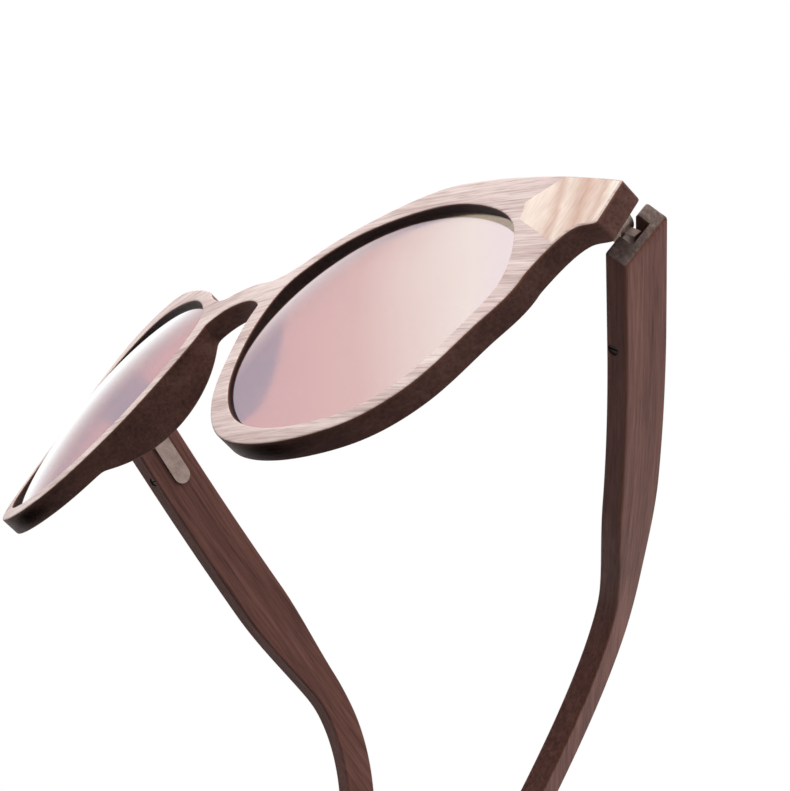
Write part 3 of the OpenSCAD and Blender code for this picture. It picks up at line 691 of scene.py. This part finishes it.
def screw_bore(side):
    """The housing screw's hole in the temple's foot, a cylinder of BORE_SIDES, as its points and
    faces."""
    a = np.linspace(0, 2 * np.pi, BORE_SIDES, endpoint=False)
    foot = TEMPLE_TOP - TEMPLE_H
    x = PIVOT_IN + SCREW_IN + SCREW_HOLE_R * np.cos(a) + bow(SCREW_Y)[0]
    y = SCREW_Y + SCREW_HOLE_R * np.sin(a)
    rings = [np.stack([x, y, np.full(len(a), z)], 1) for z in (foot - BORE_OVER, foot + SCREW_HOLE_H)]
    numbers = np.arange(2 * len(a)).reshape(2, -1)
    faces = strip(numbers).tolist() + [numbers[0].tolist(), numbers[1][::-1].tolist()]
    return temple_to_row(np.vstack(rings), side), faces


def temple_grain(side):
    """Gives the function that finds a point's place in a temple's wood: distance behind the pivot,
    height, and depth below the outer side."""
    def grain(points):
        """Places in the wood of points in the row frame."""
        x, y, z = row_to_temple(points, side).T
        return np.stack([y, z, TEMPLE_T + PIVOT_IN + bow(y)[0] - x], 1)
    return grain


def temple(side, wood, sawn):
    """A temple as its section carried along the middle line: square to it, tapering, bowed, round at
    the tip, and cut at the front end to the curve of the front's back with a fine chamfer. Its inner
    side has the hinge's notch and then the housing's groove, which is round at its end."""
    turns = np.radians(np.linspace(0, TIP_TURN, TIP_STEPS))
    tip = TIP_STEPS - 1
    ys = np.concatenate([
        [HOUSING_START - NOTCH_STEP, HOUSING_START, HOUSING_ROW],
        HOUSING_END - HOUSING_HALF * (1 - np.sin(turns)), [HOUSING_END + GROOVE_STEP],
        np.linspace(ARM_ROW, REACH, TEMPLE_STEPS), np.full(tip, REACH),
    ])
    move = np.concatenate([np.zeros(len(ys) - tip), WAIST_H / 2 * np.sin(turns[1:])])
    middle, fall, height = temple_path(ys)
    half = height / 2
    half[-tip:] = np.maximum(half[-tip:] * np.cos(turns[1:]), CORNER_R + TIP_FLAT)
    in_housing = ys < HOUSING_END
    round_end = np.maximum(ys - (HOUSING_END - HOUSING_HALF), 0)
    square = np.maximum(HOUSING_HALF**2 - round_end**2, LEAST_SQUARE)
    lip = np.where(in_housing, np.sqrt(square), GROOVE_SHUT)
    lip[0] = NOTCH_HALF
    u, z = temple_section(half, np.where(in_housing, HOUSING_IN, 0), lip, np.where(in_housing, -middle, 0))
    level = np.hypot(fall, 1)
    y = (ys + move / level)[:, None] + (fall / level)[:, None] * z
    z = (middle - move * fall / level)[:, None] + z / level[:, None]
    start = butt_y(u[0], z[0])
    lead, slot = [], np.abs(z[0]) < NOTCH_HALF + GROOVE_SHUT
    for back, shrink in CHAMFER:
        lead_u = u[0] + np.where(slot & (u[0] > 0), 0, np.clip(TEMPLE_T / 2 - u[0], -shrink, shrink))
        lead_z = z[0] + np.where(slot, 0, np.clip(middle[0] - z[0], -shrink, shrink))
        lead.append((lead_u, start + back, lead_z))
    u, y, z = (np.vstack([*ahead, behind]) for ahead, behind in zip(zip(*lead), (u, y, z)))
    numbers = np.arange(u.size).reshape(u.shape)
    faces = strip(numbers).tolist()
    finish = np.repeat((np.arange(len(u) - 1) < 2).astype(int), u.shape[1]).tolist()
    butt = tessellate_polygon([np.stack([u[0], z[0], 0 * u[0]], 1).tolist()])
    faces += [[numbers[0][k] for k in t] for t in butt] + [numbers[-1][::-1].tolist()]
    finish += [1] * len(butt) + [0]
    placed = temple_to_row(bowed(u, y, z).reshape(-1, 3), side)
    piece(side + "_temple_arm", placed, faces, temple_grain(side), [wood, sawn], side + "_temple",
          [side + "_temple"], finish, screw_bore(side))


def coil_spring(side, steel):
    """The spring hidden round a rod. Its wire's middle runs on a helix from the stop to the nut: across
    the rod it turns at the coil's radius, and along the rod it gains the same length each turn. The end
    at the stop stays with the temple and the end at the nut with the tongue, so the coil shortens as
    the temple is drawn out."""
    length = SPRING_LEN - FOLDS[side][1]
    angle = np.linspace(0, 2 * np.pi * SPRING_TURNS, TURN_STEPS * SPRING_TURNS + 1)
    round_wire = np.linspace(0, 2 * np.pi, WIRE_SIDES, endpoint=False)
    radius = COIL_R + WIRE_R * np.cos(round_wire)
    along = SPRING_Y + WIRE_R + (length - 2 * WIRE_R) * angle / angle[-1]
    points = np.stack([
        BORE_X + np.outer(np.cos(angle), radius), along[:, None] + WIRE_R * np.sin(round_wire),
        np.outer(np.sin(angle), radius),
    ], 2).reshape(-1, 3)
    numbers = np.arange(len(points)).reshape(len(angle), -1)
    faces = strip(numbers).tolist() + [numbers[0].tolist(), numbers[-1][::-1].tolist()]
    placed = temple_to_row(points, side)
    made = piece(side + "_spring_coil", placed, faces, temple_grain(side), [steel], None,
                 [side + "_coil_spring"])
    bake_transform(made)


# Materials. Colours are the wood's own under plain light, from its darkest streak to its palest, except the
# face plies' paler colours, which are painted light on the lit faces, and the rebate's near-black, which is
# painted shade
# Near-black colours that are painted shade on the lens openings' walls
PAINTED_SHADE = ("#211614", "#2c1e1b", "#372722")
SAWN = ("#55443f", "#75635d", "#94837c")
# The front's face ply colours are painted light: the pale lit face over the darker walnut core
front_wood = walnut("oiled_walnut_front", face=("#a78e89", "#d3beb9", "#e7d7d3"),
                    core=("#402924", "#5c3d36", "#704e46"), ply=0.00012)
# Painted shade for the openings' walls, as a near-black walnut
painted_shade_wood = walnut("walnut_rebate_painted_shade", face=PAINTED_SHADE, core=PAINTED_SHADE, ply=0.0001)
# The temple's face ply colours, paler than its core, are painted light on its lit outer side
temple_wood = walnut("oiled_walnut_temple", face=("#5c3b35", "#7e544b", "#97695e"),
                     core=("#482d28", "#64423b", "#79534a"), ply=0.00015)
sawn_wood = walnut("sawn_walnut_end", face=SAWN, core=SAWN, ply=0.0001)
sapwood = pale_splice()
coat = mirror_lens()
hinge_metal = satin_metal("tumbled_nickel_silver", "#a5928a", "#7f6e67", 0.42)
screw_steel = satin_metal("blackened_steel", "#3a3431", "#211d1c", 0.36)
spring_steel = satin_metal("spring_steel", "#d2cec8", "#a8a49e", 0.3)
bush_brass = satin_metal("turned_brass", "#c7a867", "#987c43", 0.32)

carved_front(front_wood, painted_shade_wood, sapwood)
for side in SIDES:
    lens(side, coat)
    temple(side, temple_wood, sawn_wood)
    coil_spring(side, spring_steel)

FINISHES = {
    "hinge_leaf": hinge_metal, "hinge_tongue": hinge_metal, "spring_housing": hinge_metal,
    "leaf_screws": screw_steel, "pivot_screw": screw_steel, "housing_screw": screw_steel,
    "rod_nut": bush_brass, "spring_stop": bush_brass,
}
for name, finish in FINISHES.items():
    for side in SIDES:
        made = nodes[side + "_" + name]
        made.data.materials.clear()
        made.data.materials.append(finish)


# Camera of the photograph, found in the front's own frame, in millimetres
CAMERA_PLACE = (290.27, -91.70, -137.78)
CAMERA_AXES = ((0.57585, 0.66111, 0.48098), (0.16738, -0.67118, 0.72215), (0.80024, -0.33534, -0.49715))
FOCAL_PIXELS, LONG_SIDE, SENSOR, CLIP_START = 2290.5, 791, 36, 0.01

# The floor's half-side and height and the distances between which it fades into the room, in metres, and the
# strength of the room's fill light and of its white
FLOOR_HALF, FLOOR_Z, FADE_START, FADE_END = 1.2, -0.0002, 0.1, 0.42
FILL, WHITE = 0.4, 1.0


def place_in_scene(made, axes, place):
    """Puts an object in the scene: the rows of axes are its own X, Y and Z, and place its origin in
    metres."""
    bpy.context.scene.collection.objects.link(made)
    matrix = np.eye(4)
    matrix[:3, :3] = axes.T
    matrix[:3, 3] = place
    made.matrix_world = Matrix(matrix.tolist())


def make_camera():
    """Camera at the photograph's angle: its axes and place carried from the front's frame to the row."""
    data = bpy.data.cameras.new("camera")
    data.sensor_width = SENSOR
    data.lens = FOCAL_PIXELS / LONG_SIDE * SENSOR
    data.clip_start = CLIP_START
    made = bpy.data.objects.new("camera", data)
    place = front_to_row(np.array(CAMERA_PLACE)[None])[0] * MM
    place_in_scene(made, turn_x(np.array(CAMERA_AXES), LEAN), place)
    bpy.context.scene.camera = made


def in_sight(tree):
    """1 for the rays by which the camera sees, straight, mirrored or through a lens, and 0 for those
    that light things."""
    path = add(tree, "LightPath").outputs
    seen = add(tree, "Math", [(0, path["Is Camera Ray"]), (1, path["Is Glossy Ray"])], operation="MAXIMUM")
    seen = add(tree, "Math", [(0, seen.outputs[0]), (1, path["Is Transmission Ray"])], operation="MAXIMUM")
    return seen.outputs[0]


def make_floor():
    """Pale floor under the pair, which fades out into the white room round it. Seen from below, as the
    photograph's camera does, it lets the view through."""
    mesh = bpy.data.meshes.new("floor")
    s, low = FLOOR_HALF, FLOOR_Z
    mesh.from_pydata([(-s, -s, low), (s, -s, low), (s, s, low), (-s, s, low)], [], [(0, 1, 2, 3)])
    floor = bpy.data.objects.new("floor", mesh)
    bpy.context.scene.collection.objects.link(floor)
    made, tree, shader = new_material("pale_floor")
    greys = [("A", linear("#7c7c7c")), ("B", linear("#e8e8e8"))]
    tone = add(tree, "Mix", [("Factor", in_sight(tree))], greys, data_type="RGBA")
    tree.links.new(tone.outputs["Result"], shader.inputs["Base Color"])
    shader.inputs["Roughness"].default_value = 0.9
    spot = add(tree, "TexCoord").outputs["Object"]
    far = add(tree, "VectorMath", [(0, spot)], operation="LENGTH").outputs["Value"]
    ends = [("From Min", FADE_START), ("From Max", FADE_END)]
    fade = add(tree, "MapRange", [("Value", far)], ends, interpolation_type="SMOOTHSTEP")
    back = add(tree, "NewGeometry").outputs["Backfacing"]
    gone = add(tree, "Math", [(0, back), (1, fade.outputs[0])], operation="MAXIMUM")
    clear = add(tree, "BsdfTransparent")
    both = add(tree, "MixShader", [(0, gone.outputs[0]), (1, shader.outputs[0]), (2, clear.outputs[0])])
    out = [n for n in tree.nodes if n.type == "OUTPUT_MATERIAL"][0]
    tree.links.new(both.outputs[0], out.inputs[0])
    mesh.materials.append(made)


def make_world():
    """White surroundings to the camera and to reflections, and a soft grey fill for the wood."""
    world = bpy.data.worlds.new("studio")
    world.use_nodes = True
    tree = world.node_tree
    tree.nodes.clear()
    level = add(tree, "MapRange", [("Value", in_sight(tree))], [("To Min", FILL), ("To Max", WHITE)])
    sky = add(tree, "Background", [("Strength", level.outputs[0])], [("Color", (1, 1, 1, 1))])
    out = add(tree, "OutputWorld")
    tree.links.new(sky.outputs[0], out.inputs[0])
    bpy.context.scene.world = world


def make_lamp(name, place, target, size, power):
    """Square softbox at a place in metres, facing the target. The lenses mirror the white room and not
    the box."""
    data = bpy.data.lights.new(name, "AREA")
    data.size = size
    data.energy = power
    made = bpy.data.objects.new(name, data)
    ahead = np.array(target) - np.array(place)
    ahead = ahead / np.linalg.norm(ahead)
    right = np.cross(ahead, (0, 0, 1))
    right = right / np.linalg.norm(right)
    place_in_scene(made, np.array([right, np.cross(right, ahead), -ahead]), place)
    made.visible_glossy = False
    made.visible_transmission = False


make_camera()
make_floor()
make_world()
make_lamp("front_softbox", place=(0.12, -0.8, 0.36), target=(0, -0.05, 0.03), size=0.6, power=7.7)
make_lamp("top_softbox", place=(0.3, 0.1, 0.9), target=(0, 0, 0), size=0.7, power=7)
bpy.context.scene.view_settings.view_transform = "Standard"
